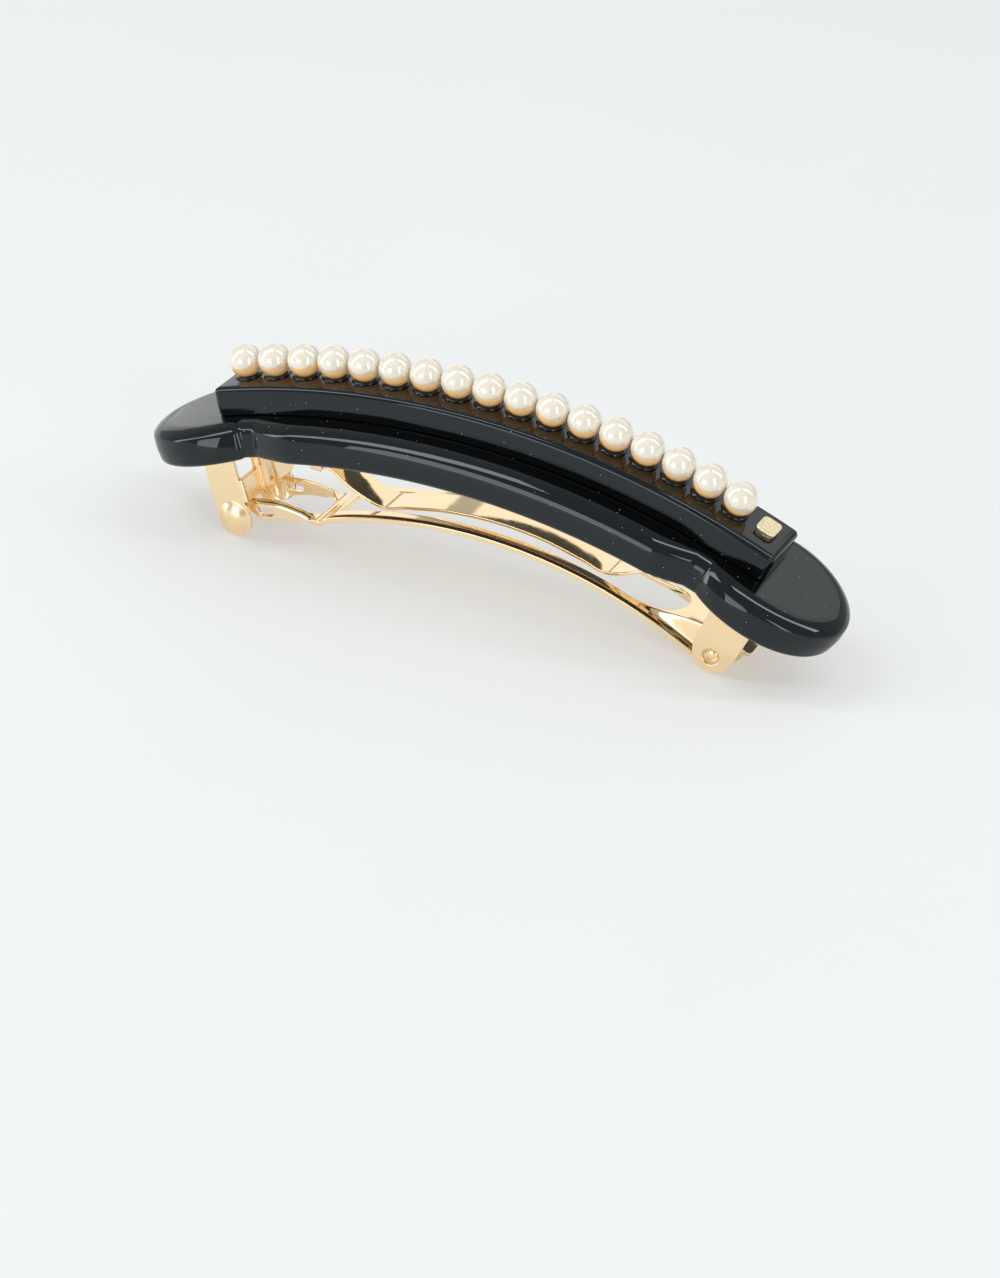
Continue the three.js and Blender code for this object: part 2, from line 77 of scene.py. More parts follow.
ARM_CROWN = (2.0, -13.45)
SHEET_EDGE = 0.13  # rounding of the pressed sheet's edges

# ---- the design frame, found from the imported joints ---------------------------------

joints = {joint["name"]: joint for joint in frame["joints"]}
tab_axis = joints["front_tab_squeeze"]["axis"]
TILT = -math.atan2(tab_axis[2], tab_axis[0]) - TAB_ANGLE
TURN = np.array(Matrix.Rotation(TILT, 3, "Y"))
pivot = Vector(joints["lever_hinge"]["pos_m"])
pivot_arm = Vector((math.sin(EAR_ANGLE + TILT), 0, math.cos(EAR_ANGLE + TILT)))
bend_axis = pivot - pivot_arm * PIVOT_RADIUS * MM
ORIGIN = np.array(bend_axis) + TURN @ np.array([0, 0, CROWN]) * MM


def to_row(points):
    """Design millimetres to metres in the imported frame."""
    return np.asarray(points, float) @ TURN.T * MM + ORIGIN


def on_arc(angle, radius, y):
    """Points at an angle from the crown and a distance from the bend axis."""
    angle, radius, y = np.broadcast_arrays(angle, radius, y)
    return np.stack([radius * np.sin(angle), y, radius * np.cos(angle) - CROWN], -1)


def turned(points, angle):
    """Points drawn at the crown, turned about the bend axis."""
    x, y, z = np.moveaxis(points, -1, 0)
    reach = z + CROWN
    return np.stack([x * math.cos(angle) + reach * math.sin(angle), y,
                     reach * math.cos(angle) - x * math.sin(angle) - CROWN], -1)


# ---- mesh building ------------------------------------------------------------------

def unit(vectors):
    return vectors / np.maximum(np.linalg.norm(vectors, axis=-1, keepdims=True), 1e-12)


def rounded(corners, steps):
    """A closed outline from (x, y, radius) corners. Each corner takes less than half a side."""
    outline, side_share = [], 0.49
    for index, (x, y, radius) in enumerate(corners):
        corner = np.array([x, y], float)
        back = np.array(corners[index - 1][:2]) - corner
        ahead = np.array(corners[(index + 1) % len(corners)][:2]) - corner
        room = side_share * min(np.linalg.norm(back), np.linalg.norm(ahead))
        back, ahead = unit(back), unit(ahead)
        half = math.acos(np.clip(back @ ahead, -1, 1)) / 2
        reach = min(radius / math.tan(half), room)
        radius = reach * math.tan(half)
        centre = corner + unit(back + ahead) * radius / math.sin(half)
        start = math.atan2(*(corner + back * reach - centre)[::-1])
        end = math.atan2(*(corner + ahead * reach - centre)[::-1])
        sweep = (end - start + math.pi) % (2 * math.pi) - math.pi
        for step in range(steps + 1):
            angle = start + sweep * step / steps
            outline.append(centre + radius * np.array([math.cos(angle), math.sin(angle)]))
    return np.array(outline)


def rounded_box(half_length, half_width, corner, steps):
    return rounded(mirrored([(half_length, half_width, corner),
                             (-half_length, half_width, corner)]), steps)


def mirrored(corners):
    """Corners on the +Y side, run from +X to -X, with their mirror image run back again."""
    return corners + [(x, -y, radius) for x, y, radius in reversed(corners)]


def ellipse(x, y, radius_x, radius_y, count=28):
    """A round hole, run clockwise."""
    angles = -np.arange(count) * 2 * math.pi / count
    return np.stack([x + radius_x * np.cos(angles), y + radius_y * np.sin(angles)], -1)


def edge_normals(loop):
    """Twice the sideways vector at each vertex of a loop, towards its material."""
    ahead = unit(np.roll(loop, -1, 0) - loop)
    back = np.roll(ahead, 1, 0)
    total = ahead + back
    return np.stack([-total[:, 1], total[:, 0]], -1)


def inset(loop, distance, easing=0):
    """The loop moved into its material. Easing evens out the direction from point to point."""
    sideways = edge_normals(loop)
    shift = 2 * sideways / np.sum(sideways ** 2, -1, keepdims=True)
    for _ in range(easing):
        shift = (np.roll(shift, 1, 0) + 2 * shift + np.roll(shift, -1, 0)) / 4
    return loop + distance * shift


def round_edges(radius):
    """The edge of a sheet with a square wall between two small roundings."""
    return [(0, radius), (0, None), (90, radius)]


def edge_rings(thickness, edge):
    """(inset, height, sideways, upwards) from the foot's flat, round the edge, to the top's flat.
    The edge is a chain of arcs, each with the elevation that it turns to, in degrees, and its
    radius. The wall's radius is None: it takes whatever height is left."""
    rise, elevation, chain, arc_step = 0, -90, [], 0.2
    for reached, radius in edge:
        chain.append([math.radians(elevation), math.radians(reached), radius])
        elevation = reached
        if radius:
            rise += radius * (math.sin(chain[-1][1]) - math.sin(chain[-1][0]))
    out, height, points = 0, -thickness, [(0, -thickness, -math.pi / 2)]
    for start, end, radius in chain:
        lift = math.sin(end) - math.sin(start)
        if radius is None:
            radius = (thickness - rise) / lift if lift > 0 else 0
            height += 0 if radius else thickness - rise
        for angle in spaced(start, end, arc_step)[1 if radius else -1:]:
            points.append((out + radius * (math.cos(angle) - math.cos(start)),
                           height + radius * (math.sin(angle) - math.sin(start)), angle))
        out, height = points[-1][:2]
    widest = max(point[0] for point in points)
    return [(widest - out, height, math.cos(angle), math.sin(angle))
            for out, height, angle in points]


def blank(loops, thickness, edge, easing=0):
    """A flat sheet with shaped edges. The first loop is its outline, run anticlockwise, and
    the rest are its holes, run clockwise. Its top is at height 0."""
    bm = bmesh.new()
    layer = bm.verts.layers.float_vector.new("shade")
    rings = edge_rings(thickness, edge)
    deepest = max(ring[0] for ring in rings)
    caps = ([], [])
    for loop in loops:
        columns = []
        for offset, height, sideways, upwards in rings:
            ring = inset(loop, offset, round(easing * offset / deepest))
            outward = -unit(edge_normals(ring))
            column = []
            for (x, y), (nx, ny) in zip(ring, outward):
                vert = bm.verts.new((x, y, height))
                vert[layer] = (nx * sideways, ny * sideways, upwards)
                column.append(vert)
            columns.append(column)
        for low, high in zip(columns, columns[1:]):
            for i in range(len(low)):
                j = (i + 1) % len(low)
                bm.faces.new((low[i], low[j], high[j], high[i]))
        caps[0].append(columns[0])
        caps[1].append(columns[-1])
    for cap in caps:
        flat = [vert for column in cap for vert in column]
        for triangle in tessellate_polygon([[vert.co for vert in column] for column in cap]):
            bm.faces.new([flat[i] for i in triangle])
    bmesh.ops.recalc_face_normals(bm, faces=bm.faces)
    return bm


def cut_across(bm, axis, places):
    """Cuts a blank at these places along one of its axes, so that it can bend there."""
    direction = Vector((axis == 0, axis == 1, 0))
    for place in places:
        bmesh.ops.bisect_plane(bm, geom=bm.verts[:] + bm.edges[:] + bm.faces[:], dist=1e-6,
                               plane_co=direction * float(place), plane_no=direction)


def wrapped(bm, surface):
    """A blank laid on surface(u, v), as (points, normals, faces) in the design frame."""
    layer = bm.verts.layers.float_vector["shade"]
    bm.verts.index_update()
    flat = np.array([vert.co for vert in bm.verts], float)
    shade = np.array([vert[layer] for vert in bm.verts], float)
    faces = [[vert.index for vert in face.verts] for face in bm.faces]
    bm.free()
    u, v, height = flat.T
    step = 0.02
    along = unit(surface(u + step, v) - surface(u - step, v))
    across = unit(surface(u, v + step) - surface(u, v - step))
    out = unit(np.cross(along, across))
    points = surface(u, v) + out * height[:, None]
    normals = unit(along * shade[:, :1] + across * shade[:, 1:2] + out * shade[:, 2:])
    return points, normals, faces


def lathed(profile, count, place):
    """A closed solid turned about Z from (radius, z) points that start and end on the axis,
    given lowest first, then carried by place(points)."""
    probe = 0.001
    profile = np.array(profile, float)
    tangent = np.gradient(profile, axis=0)
    slope = unit(np.stack([tangent[:, 1], -tangent[:, 0]], -1))
    slope[0], slope[-1] = (0, -1), (0, 1)
    points, normals, faces = [(0, 0, profile[0, 1])], [(0, 0, -1)], []
    for (radius, z), (out, up) in zip(profile[1:-1], slope[1:-1]):
        for i in range(count):
            angle = 2 * math.pi * i / count
            points.append((radius * math.cos(angle), radius * math.sin(angle), z))
            normals.append((out * math.cos(angle), out * math.sin(angle), up))
    points.append((0, 0, profile[-1, 1]))
    normals.append((0, 0, 1))
    rows = len(profile) - 2
    for i in range(count):
        j = (i + 1) % count
        faces.append([0, 1 + j, 1 + i])
        for row in range(rows - 1):
            low = 1 + row * count
            faces.append([low + i, low + j, low + count + j, low + count + i])
        top = 1 + (rows - 1) * count
        faces.append([top + i, top + j, len(points) - 1])
    points, normals = np.array(points), np.array(normals)
    return place(points), unit(place(points + normals * probe) - place(points)), faces


def add_piece(name, parts, finish, body, slot, *nodes):
    """One Blender object from meshed parts, riding on a body and standing for CAD nodes."""
    points, normals, faces, start = [], [], [], 0
    for part_points, part_normals, part_faces in parts:
        points.append(to_row(part_points))
        normals.append(part_normals @ TURN.T)
        faces.extend([start + i for i in face] for face in part_faces)
        start += len(part_points)
    mesh = bpy.data.meshes.new(name)
    mesh.from_pydata(np.concatenate(points).tolist(), [], faces)
    mesh.polygons.foreach_set("use_smooth", [True] * len(mesh.polygons))
    mesh.materials.append(finish)
    mesh.normals_split_custom_set_from_vertices(np.concatenate(normals).tolist())
    piece = bpy.data.objects.new(name, mesh)
    bpy.context.scene.collection.objects.link(piece)
    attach(piece, body)
    if nodes:
        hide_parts(*nodes)
    return piece


def spaced(start, end, step):
    """Places from start to end, about a step apart."""
    return np.linspace(start, end, max(2, round(abs(end - start) / step) + 1))


# ---- materials ----------------------------------------------------------------------

class Finish:
    """A node material with a Principled shader, and short calls for the nodes it needs."""

    def __init__(self, name, **constants):
        self.material = bpy.data.materials.new(name)
        self.material.use_nodes = True
        self.nodes = self.material.node_tree.nodes
        self.links = self.material.node_tree.links
        self.shader = self.nodes["Principled BSDF"]
        for socket, value in constants.items():
            self.shader.inputs[socket.replace("_", " ")].default_value = value
        self.place = self.nodes.new("ShaderNodeTexCoord").outputs["Object"]

    def node(self, kind, inputs=(), **settings):
        made = self.nodes.new(kind)
        for key, value in settings.items():
            setattr(made, key, value)
        for key, value in dict(inputs).items():
            if isinstance(value, bpy.types.NodeSocket):
                self.links.new(value, made.inputs[key])
            else:
                made.inputs[key].default_value = value
        return made

    def stretched(self, scale):
        return self.node("ShaderNodeMapping", {"Vector": self.place, "Scale": scale}).outputs[0]

    def noise(self, scale, detail=3.0, vector=None, roughness=0.5):
        return self.node("ShaderNodeTexNoise", {
            "Vector": vector or self.place, "Scale": scale, "Detail": detail,
            "Roughness": roughness}).outputs["Fac"]

    def spread(self, value, low, high, start=0.0, end=1.0):
        return self.node("ShaderNodeMapRange", {
            "Value": value, "From Min": start, "From Max": end,
            "To Min": low, "To Max": high}).outputs["Result"]

    def spread_noise(self, noise, low, high):
        """The middle of a noise's range, where nearly all of it lies, spread from low to high."""
        return self.spread(noise, low, high, 0.3, 0.7)

    def blend(self, factor, first, second):
        made = self.node("ShaderNodeMix", data_type="RGBA")
        self.links.new(factor, made.inputs["Factor"])
        for socket, colour in ((made.inputs["A"], first), (made.inputs["B"], second)):
            if isinstance(colour, bpy.types.NodeSocket):
                self.links.new(colour, socket)
            else:
                socket.default_value = (*colour, 1)
        return made.outputs["Result"]

    def bump(self, height, distance, strength, normal=None):
        inputs = {"Height": height, "Distance": distance, "Strength": strength}
        if normal:
            inputs["Normal"] = normal
        return self.node("ShaderNodeBump", inputs).outputs["Normal"]

    def specks(self, scale, size, share):
        """1 on small round specks, in a share of the cells of a random pattern."""
        cells = self.node("ShaderNodeTexVoronoi", {"Vector": self.place, "Scale": scale})
        near = self.node("ShaderNodeMath", {0: cells.outputs["Distance"], 1: size},
                         operation="LESS_THAN").outputs[0]
        lot = self.node("ShaderNodeSeparateColor", {"Color": cells.outputs["Color"]})
        chosen = self.node("ShaderNodeMath", {0: lot.outputs["Red"], 1: share},
                           operation="LESS_THAN").outputs[0]
        return self.node("ShaderNodeMath", {0: near, 1: chosen}, operation="MULTIPLY").outputs[0]

    def drive(self, socket, value):
        self.links.new(value, self.shader.inputs[socket])


def acetate_finish():
    """Polished black acetate: deep gloss, a slow polishing wave, fine wipe marks and dust."""
    finish = Finish("black_acetate", IOR=1.5)
    finish.shader.inputs["Specular Tint"].default_value = (0.86, 0.96, 1.0, 1)
    dust, dust_colour = finish.specks(scale=1200, size=0.08, share=0.2), (0.45, 0.45, 0.43)
    body = finish.blend(finish.noise(220), (0.0012, 0.0014, 0.0018), (0.0022, 0.0024, 0.003))
    finish.drive("Base Color", finish.blend(dust, body, dust_colour))
    polish = finish.spread_noise(finish.noise(160, 5.0), 0.01, 0.035)
    rough = finish.node("ShaderNodeMath", {0: polish, 1: dust}, operation="MAXIMUM")
    finish.drive("Roughness", rough.outputs[0])
    wave = finish.bump(finish.noise(95, 1.0), distance=0.00022, strength=0.25)
    marks = finish.noise(900, 2.0, finish.stretched((1, 14, 6)))
    finish.drive("Normal", finish.bump(marks, distance=0.0000012, strength=0.2, normal=wave))
    return finish.material


def pearl_finish():
    """Cream nacre: a soft bright reflection over a body that is painted amber on its lower part,
    as painted warm light and reflection underneath.
    """
    finish = Finish("cream_pearl", IOR=2.0, Coat_Weight=1.0, Coat_Roughness=0.06,
                    Coat_IOR=1.7, Subsurface_Weight=0.12, Subsurface_Scale=0.0008)
    finish.shader.inputs["Subsurface Radius"].default_value = (1.0, 0.6, 0.3)
    axis = to_row((0, 0, -CROWN))
    split = finish.node("ShaderNodeSeparateXYZ", {"Vector": finish.place})
    across = finish.node("ShaderNodeMath", {0: split.outputs["X"], 1: float(axis[0])},
                         operation="SUBTRACT")
    upwards = finish.node("ShaderNodeMath", {0: split.outputs["Z"], 1: float(axis[2])},
                          operation="SUBTRACT")
    reach = finish.node("ShaderNodeCombineXYZ", {"X": across.outputs[0],
                                                 "Y": upwards.outputs[0]})
    radius = finish.node("ShaderNodeVectorMath", {0: reach.outputs[0]}, operation="LENGTH")
    foot, head = BAR_TOP * MM, (BAR_TOP + 2 * PEARL_RADIUS) * MM
    height = finish.spread(radius.outputs["Value"], 0.0, 1.0, foot, head)
    cloud = finish.spread_noise(finish.noise(260, 3.0), -0.06, 0.06)
    level = finish.node("ShaderNodeMath", {0: height, 1: cloud}, operation="ADD").outputs[0]
    painted_amber_to, cream_from = 0.34, 0.42  # shares of the pearl's height; below them the colour is painted amber, as painted warm light underneath
    rise = finish.spread(level, 0.0, 1.0, painted_amber_to, cream_from)
    # Painted light: cream on top, painted amber underneath, standing in for warm reflected light
    # and shade there.
    finish.drive("Base Color", finish.blend(rise, (1.0, 0.65, 0.29), (0.86, 0.79, 0.66)))
    # Painted glow: the pearl's lower part emits amber light, though it is no lamp.
    finish.shader.inputs["Emission Color"].default_value = (1.0, 0.52, 0.2, 1)
    finish.drive("Emission Strength", finish.spread(rise, 0.19, 0.0))  # painted amber glow, strongest underneath
    finish.drive("Roughness", finish.spread_noise(finish.noise(500, 4.0), 0.12, 0.18))
    finish.drive("Normal", finish.bump(finish.noise(500, 1.0), distance=0.000006, strength=0.2))
    return finish.material


def gold_finish(name, grain, roughness):
    """Pale gold plating. Grain stretches the fine marks along one axis, as rolling does."""
    finish = Finish(name, Metallic=1.0)
    tone = finish.spread_noise(finish.noise(180, 3.0), 0.0, 1.0)
    finish.drive("Base Color", finish.blend(tone, (1.0, 0.76, 0.46), (1.0, 0.79, 0.50)))
    marks = finish.noise(700, 4.0, finish.stretched(grain), 0.6)
    finish.drive("Roughness", finish.spread_noise(marks, 0.6 * roughness, 1.4 * roughness))
    wave = finish.bump(finish.noise(260, 2.0), distance=0.00003, strength=0.35)
    finish.drive("Normal", finish.bump(marks, distance=0.000004, strength=0.5, normal=wave))
    return finish.material


def stud_finish():
    """Cast gold with a softly hammered face. Its colour is painted deeper gold in the dents'
    hollows and paler on their high points, as painted shade and highlight.
    """
    finish = Finish("hammered_gold", Metallic=1.0)
    dents_and_painted_shade = finish.noise(1900, 3.0)
    # Painted shade and highlight: the colour follows the dents, deeper gold in the hollows and
    # paler on the high points.
    finish.drive("Base Color", finish.blend(dents_and_painted_shade, (1.0, 0.78, 0.44), (1.0, 0.91, 0.69)))
    finish.drive("Roughness", finish.spread_noise(dents_and_painted_shade, 0.3, 0.5))
    finish.drive("Normal", finish.bump(dents_and_painted_shade, distance=0.00012, strength=0.8))
    return finish.material


def floor_finish():
    """A pale translucent board, faintly mottled, that glows a little with light from below."""
    finish = Finish("pale_board", Roughness=0.6, IOR=1.3, Emission_Strength=1.0)
    finish.shader.inputs["Emission Color"].default_value = (0.40, 0.375, 0.35, 1)
    mottle = finish.noise(25, 4.0)
    finish.drive("Base Color", finish.blend(mottle, (0.455, 0.50, 0.525), (0.475, 0.52, 0.545)))
    finish.drive("Normal", finish.bump(finish.noise(900, 3.0), distance=0.00002, strength=0.3))
    return finish.material


acetate = acetate_finish()
pearl_skin = pearl_finish()
gold = gold_finish("gold_plate", grain=(1, 1, 1), roughness=0.07)
brushed_gold = gold_finish("brushed_gold_plate", grain=(9, 3, 0.7), roughness=0.24)
stud_gold = stud_finish()

# ---- acetate ------------------------------------------------------------------------


def plate_side(notch_start, notch_end, lobe_centre, lobe_length, lobe_width):
    """Half of one long side: a round lobe, a narrow flat notch, and a taper to the middle."""
    half_width, notch_width, taper, taper_power = 10.55, 8.5, 29.5, 1.4
    crease = 0.12  # rounds the corner between the notch and the lobe
    meeting = math.acos((notch_end + crease - lobe_centre) / lobe_length)
    side = [(lobe_centre + lobe_length * math.cos(angle), lobe_width * math.sin(angle))
            for angle in np.linspace(0, meeting, 44)]
    side += [(s, notch_width) for s in np.linspace(notch_end, notch_start, 6)]
    for run in np.linspace(1, 0, 15)[1:]:
        width = half_width - (half_width - notch_width) * run ** taper_power
        side.append((taper + (notch_start - taper) * run, width))
    return side + [(s, half_width) for s in np.linspace(taper, 0, 40)[1:]]


def plate_outline():
    """The hinge end's notch sits a millimetre nearer the middle than the catch end's."""
    hinge_side = plate_side(35.3, 37.3, 45.3, 12.9, 10.9)
    catch_side = plate_side(36.4, 38.5, 45.6, 12.1, 11.2)
    whole = hinge_side + [(-s, y) for s, y in reversed(catch_side[:-1])]
    return np.array(whole + [(s, -y) for s, y in reversed(whole[1:-1])])


def base_plate():
    """The side walls lean out a little towards the foot of each lobe."""
    flare, flare_start, half_length = 0.008, 44, 56
    edge = [(-5, 0.9), (17, None), (50, 1.0), (90, 4.2)]
    bm = blank([plate_outline()], PLATE_THICKNESS, edge, easing=40)
    cut_across(bm, 0, spaced(-half_length, half_length, 1.0))
    for vert in bm.verts:
        past = max(abs(vert.co.x) - flare_start, 0)
        vert.co.x -= math.copysign(flare * past * vert.co.z, vert.co.x)
    part = wrapped(bm, lambda u, v: on_arc(u / CROWN, CROWN, v))
    add_piece("lower_acetate", [part], acetate, "clip_body", "acetate", "base_plate")


def top_bar():
    """Its sides lean in a little, and its top edge is a small and a wider rounding."""
    half_length, half_width, shift, corner = 44.1, 5.1, 0.5, 1.0
    edge = [(0, 0.3), (3, None), (60, 0.7), (90, 1.4)]
    bm = blank([rounded_box(half_length, half_width, corner, 8)], BAR_THICKNESS, edge)
    straight = half_length - corner - 0.1
    cut_across(bm, 0, spaced(-straight, straight, 1.0))
    part = wrapped(bm, lambda u, v: on_arc((u + shift) / CROWN, BAR_TOP, v))
    add_piece("upper_acetate", [part], acetate, "clip_body", "acetate", "top_bar")


# ---- pearls -------------------------------------------------------------------------

def pearl_angle(index):
    return FIRST_PEARL + index * PEARL_PITCH / PEARL_CENTRE


def pearl_balls():
    """Near-round pearls: each has its own slight swelling, and a drill dimple underneath."""
    dimple, dimple_depth, swelling, wave_count = 0.35, 0.25, 0.006, 3
    bm = bmesh.new()
    bmesh.ops.create_icosphere(bm, subdivisions=5, radius=1.0)
    directions = unit(np.array([vert.co for vert in bm.verts], float))
    faces = [[vert.index for vert in face.verts] for face in bm.faces]
    bm.free()
    off_axis = np.hypot(directions[:, 0], directions[:, 1]) * PEARL_RADIUS
    under = (directions[:, 2] < 0) & (off_axis < dimple)
    dip = np.where(under, dimple_depth * (1 - (off_axis / dimple) ** 2), 0)
    lift = np.array([0, 0, PEARL_CENTRE - CROWN])
    rng = np.random.default_rng(17)
    for index in range(PEARL_COUNT):
        waves = sum(np.sin(directions @ rng.normal(0, 2.2, 3) + rng.uniform(0, 6))
                    for _ in range(wave_count))
        reach = PEARL_RADIUS + swelling * waves - dip
        points = directions * reach[:, None] + lift
        angle, probe = pearl_angle(index), 0.01
        placed = turned(points, angle)
        tips = turned(points + directions * probe, angle)
        name = f"pearl_{index + 1:02d}"
        add_piece(f"{name}_nacre", [(placed, unit(tips - placed), faces)], pearl_skin,
                  "clip_body", "pearl", name)


def seat_ring(index, rng):
    """The low glossy collar of acetate that a pearl is pressed into."""
    radius, width, height, probe = 1.62, 0.5, 0.34, 0.01
    around, across, oval, ripple = 48, 8, 0.12, 0.08
    phase = rng.random() * 2 * math.pi
    points, normals, faces = [], [], []
    for i in range(around):
        angle = 2 * math.pi * i / around
        bulge = 1 + oval * math.sin(2 * angle + phase) + ripple * math.sin(5 * angle + 2 * phase)
        for j in range(across):
            turn = 2 * math.pi * j / across
            out = radius + width * bulge * math.cos(turn)
            points.append((out * math.cos(angle), out * math.sin(angle),
                           height * bulge * math.sin(turn)))
            normals.append((math.cos(angle) * math.cos(turn) / width,
                            math.sin(angle) * math.cos(turn) / width, math.sin(turn) / height))
    for i in range(around):
        for j in range(across):
            ring, next_ring = i * across, (i + 1) % around * across
            k = (j + 1) % across
            faces.append([ring + j, next_ring + j, next_ring + k, ring + k])
    points = np.array(points) + (0, 0, BAR_TOP - CROWN)
    placed = turned(points, pearl_angle(index))
    tips = turned(points + unit(np.array(normals)) * probe, pearl_angle(index))
    return placed, unit(tips - placed), faces


def pearl_seats():
    rng = random.Random(17)
    parts = [seat_ring(index, rng) for index in range(PEARL_COUNT)]
    add_piece("pearl_seats", parts, acetate, "clip_body", "acetate")


def stud_slab(grow, top, thickness, edge):
    """A rounded square slab of the stud, softly sunk inside its rim."""
    length, width, corner, angle, offset = 3.0, 3.9, 0.75, 0.3293, 0.3
    half_length, half_width = length / 2 + grow, width / 2 + grow
    bm = blank([rounded_box(half_length, half_width, corner, 7)], thickness, round_edges(edge))
    cell = 0.1
    for axis, reach in ((0, length / 2 - cell), (1, width / 2 - 1.5 * cell)):
        cut_across(bm, axis, spaced(-reach, reach, cell))
    rim, sink, steepness = 0.35, 0.05, 8

    def face(u, v):
        reach = np.maximum(np.abs(u) / (half_length - rim), np.abs(v) / (half_width - rim))
        sunk = sink * np.clip((1 - reach) * steepness, 0, 1)
        return turned(np.stack([u, v + offset, top - sunk], -1), angle)

    return wrapped(bm, face)


def square_stud():
    """A cap plate that overhangs a slightly smaller block."""
    foot, block, cap, overhang = BAR_TOP - CROWN, 0.5, 0.34, 0.16
    sink, gap = 0.02, 0.01  # into the bar, and between block and cap
    parts = [stud_slab(-overhang, foot + block, block + sink, 0.05),
             stud_slab(0, foot + block + cap, cap - gap, 0.13)]
    add_piece("gold_stud", parts, stud_gold, "clip_body", "gold_stud", "square_stud")


# ---- clip frame ---------------------------------------------------------------------

def folded(v, start, radius, angle):
    """(distance off the middle, drop) of a strip that folds down at both its sides."""
    reach = np.abs(v) - start
    turn = np.clip(reach / radius, 0, angle)
    straight = np.maximum(reach - radius * angle, 0)
    out = np.where(reach < 0, np.abs(v),
                   start + radius * np.sin(turn) + straight * np.cos(angle))
    drop = np.where(reach < 0, 0, radius * (1 - np.cos(turn)) + straight * np.sin(angle))
    return np.sign(v) * out, drop


def ear_reach(radius):
    """The flat pattern's distance off the middle for a height on the ear."""
    return EAR_FOLD + EAR_BEND * math.pi / 2 + (STRIP_TOP - radius - EAR_BEND)


def frame_surface(u, v):
    y, drop = folded(v, EAR_FOLD, EAR_BEND, math.pi / 2)
    return on_arc(u / STRIP_TOP, STRIP_TOP - drop, y)


def clip_frame():
    narrow, wide, neck, relief = 4.6, 5.6, 3.0, 0.7
    ear_middle, ear_half = EAR_ANGLE * STRIP_TOP, 3.44
    ear_left, ear_right = ear_middle - ear_half, ear_middle + ear_half
    catch_end, hinge_end, catch_neck = -46.6, 46.2, -36.6
    foot = ear_reach(107.95)
    side = [(hinge_end, wide, 0.8), (ear_right + relief, wide, 0.4), (ear_right, wide + 1.2, 0.5),
            (ear_right, foot, 3.4), (ear_left, foot, 3.4), (ear_left, wide + 1.2, 0.5),
            (ear_left - relief, wide, 0.4), (ear_left - neck, narrow, 1.0),
            (catch_neck + neck, narrow, 1.0), (catch_neck, wide, 1.0), (catch_end, wide, 0.8)]
    outline = rounded(mirrored(side), 6)
    hole = 1.3
    holes = [ellipse(ear_middle, sign * ear_reach(PIVOT_RADIUS),
                     hole * STRIP_TOP / PIVOT_RADIUS, hole, 32) for sign in (-1, 1)]
    vent_start, vent_end, vent_half, vent_corner = -14, 16, 1.6, 1.5
    vent = rounded([(vent_end, -vent_half, vent_corner), (vent_start, -vent_half, vent_corner),
                    (vent_start, vent_half, vent_corner), (vent_end, vent_half, vent_corner)], 6)
    bm = blank([outline, *holes, vent], SHEET, round_edges(SHEET_EDGE))
    cut_across(bm, 0, spaced(-46, 46, 0.9))
    bends = spaced(EAR_FOLD, EAR_FOLD + EAR_BEND * math.pi / 2, 0.2)
    cut_across(bm, 1, [*bends, *-bends])
    staple_place, catch_drop, hinge_drop = 27.4, 2.75, 3.1
    parts = [wrapped(bm, frame_surface), staple(-staple_place, catch_drop),
             staple(staple_place, hinge_drop)]
    add_piece("frame_strip", parts, gold, "clip_body", "gold_plate", "clip_frame")


def staple(x, drop):
    """A strap under the frame that holds one end of the tension bar. It starts in the frame."""
    width, half_span, bend, root, edge = 1.8, 3.15, 0.6, 0.2, 0.1
    top = math.sqrt((STRIP_TOP - SHEET) ** 2 - x ** 2) - CROWN + root
    foot = top - drop - SPRING_SHEET - root
    rise = top - foot - bend
    rung = half_span - bend
    corner = bend * math.pi / 2
    end = rung + corner + rise
    bm = blank([rounded_box(width / 2, end, edge, 2)], SPRING_SHEET, round_edges(edge))
    bends = spaced(rung, rung + corner, 0.12)
    cut_across(bm, 1, [*bends, *-bends])

    def strap(u, v):
        y, lift = folded(v, rung, bend, math.pi / 2)
        return np.stack([x - u, y, foot + lift], -1)

    return wrapped(bm, strap)


def rivets():
    """Round-headed rivets up through the frame into the acetate."""
    head, shank, head_height, depth, angle, step = 1.9, 0.9, 0.7, 3.0, 0.272, 0.1
    foot = STRIP_TOP - SHEET - SEAM - CROWN
    dome = [(head * math.sin(turn), foot - head_height * math.cos(turn))
            for turn in np.linspace(0, math.pi / 2, 9)]
    top = PLATE_UNDERSIDE + depth - CROWN
    profile = dome + [(head - step / 2, foot + 0.02), (shank, foot + 0.03),
                      (shank, foot + 2 * step), (shank, top - step), (shank - step, top), (0, top)]
    for sign, end in ((-1, "catch"), (1, "hinge")):
        part = lathed(profile, 32, lambda points: turned(points, sign * angle))
        add_piece(f"rivet_dome_{end}", [part], gold, "clip_body", "gold_plate",
                  f"rivet_{end}_end")


# ---- thumb tabs ---------------------------------------------------------------------

def tab_path(u, start, bend, web_end, post_bend):
    """The tab's flat pattern bent twice: (along the arc, inwards from the leaf's face)."""
    web_start = start + bend * math.pi / 2
    post_start = web_end + post_bend * math.pi / 2
    turn = np.clip((u - start) / bend, 0, math.pi / 2)
    along = np.minimum(u, start) + bend * np.sin(turn)
    inward = bend * (1 - np.cos(turn)) + np.clip(u - web_start, 0, web_end - web_start)
    second = np.clip((u - web_end) / post_bend, 0, math.pi / 2)
    along = along + post_bend * (1 - np.cos(second)) + np.maximum(u - post_start, 0)
    inward = inward + post_bend * np.sin(second)
    return along, inward


def flipped(part):
    """A part laid on a left-handed surface, with its thickness and faces turned right."""
    points, normals, faces = part
    return points, -normals, [face[::-1] for face in faces]


